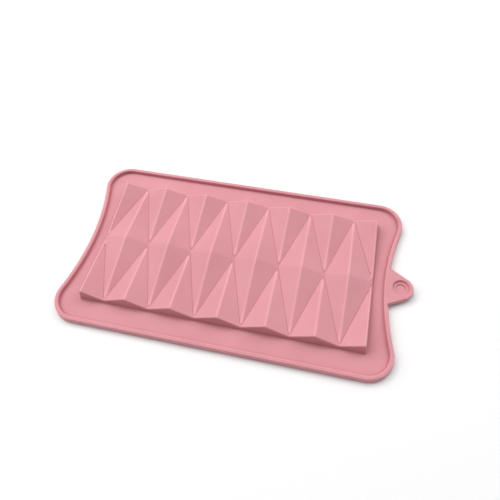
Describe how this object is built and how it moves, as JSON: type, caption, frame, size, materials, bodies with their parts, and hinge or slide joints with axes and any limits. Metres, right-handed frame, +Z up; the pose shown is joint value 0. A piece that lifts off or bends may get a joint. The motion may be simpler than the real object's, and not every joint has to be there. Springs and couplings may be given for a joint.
{
  "type": "silicone bar mould",
  "caption": "Soft one-piece mould for a faceted break-apart bar, cavity side down: hollow diamond-topped block in a thin flange with a raised rim, waisted ends and a hang tab.",
  "frame": {"origin": "middle of the overall length and width, on the plane the mould rests on with its cavity down", "axes": "+X along the bar towards the hang tab, +Y across it, +Z up out of the backs of the facets; the cavity opens towards -Z"},
  "size_m": [0.2006, 0.1116, 0.0093],
  "materials": {
    "silicone": "matte, soft, slightly translucent pink silicone rubber"
  },
  "bodies": {
    "root": {"back_flange": "silicone", "back_half_diamond_1": "silicone", "back_half_diamond_2": "silicone", "back_half_diamond_3": "silicone", "back_half_diamond_4": "silicone", "back_half_diamond_5": "silicone", "back_left_corner_diamond": "silicone", "back_right_corner_diamond": "silicone", "back_rim": "silicone", "back_wall": "silicone", "diamond_1": "silicone", "diamond_2": "silicone", "diamond_3": "silicone", "diamond_4": "silicone", "diamond_5": "silicone", "diamond_6": "silicone", "front_flange": "silicone", "front_half_diamond_1": "silicone", "front_half_diamond_2": "silicone", "front_half_diamond_3": "silicone", "front_half_diamond_4": "silicone", "front_half_diamond_5": "silicone", "front_left_corner_diamond": "silicone", "front_right_corner_diamond": "silicone", "front_rim": "silicone", "front_wall": "silicone", "hang_tab": "silicone", "left_flange": "silicone", "left_rim": "silicone", "left_wall": "silicone", "right_flange": "silicone", "right_rim": "silicone", "right_wall": "silicone"}
  },
  "joints": []
}
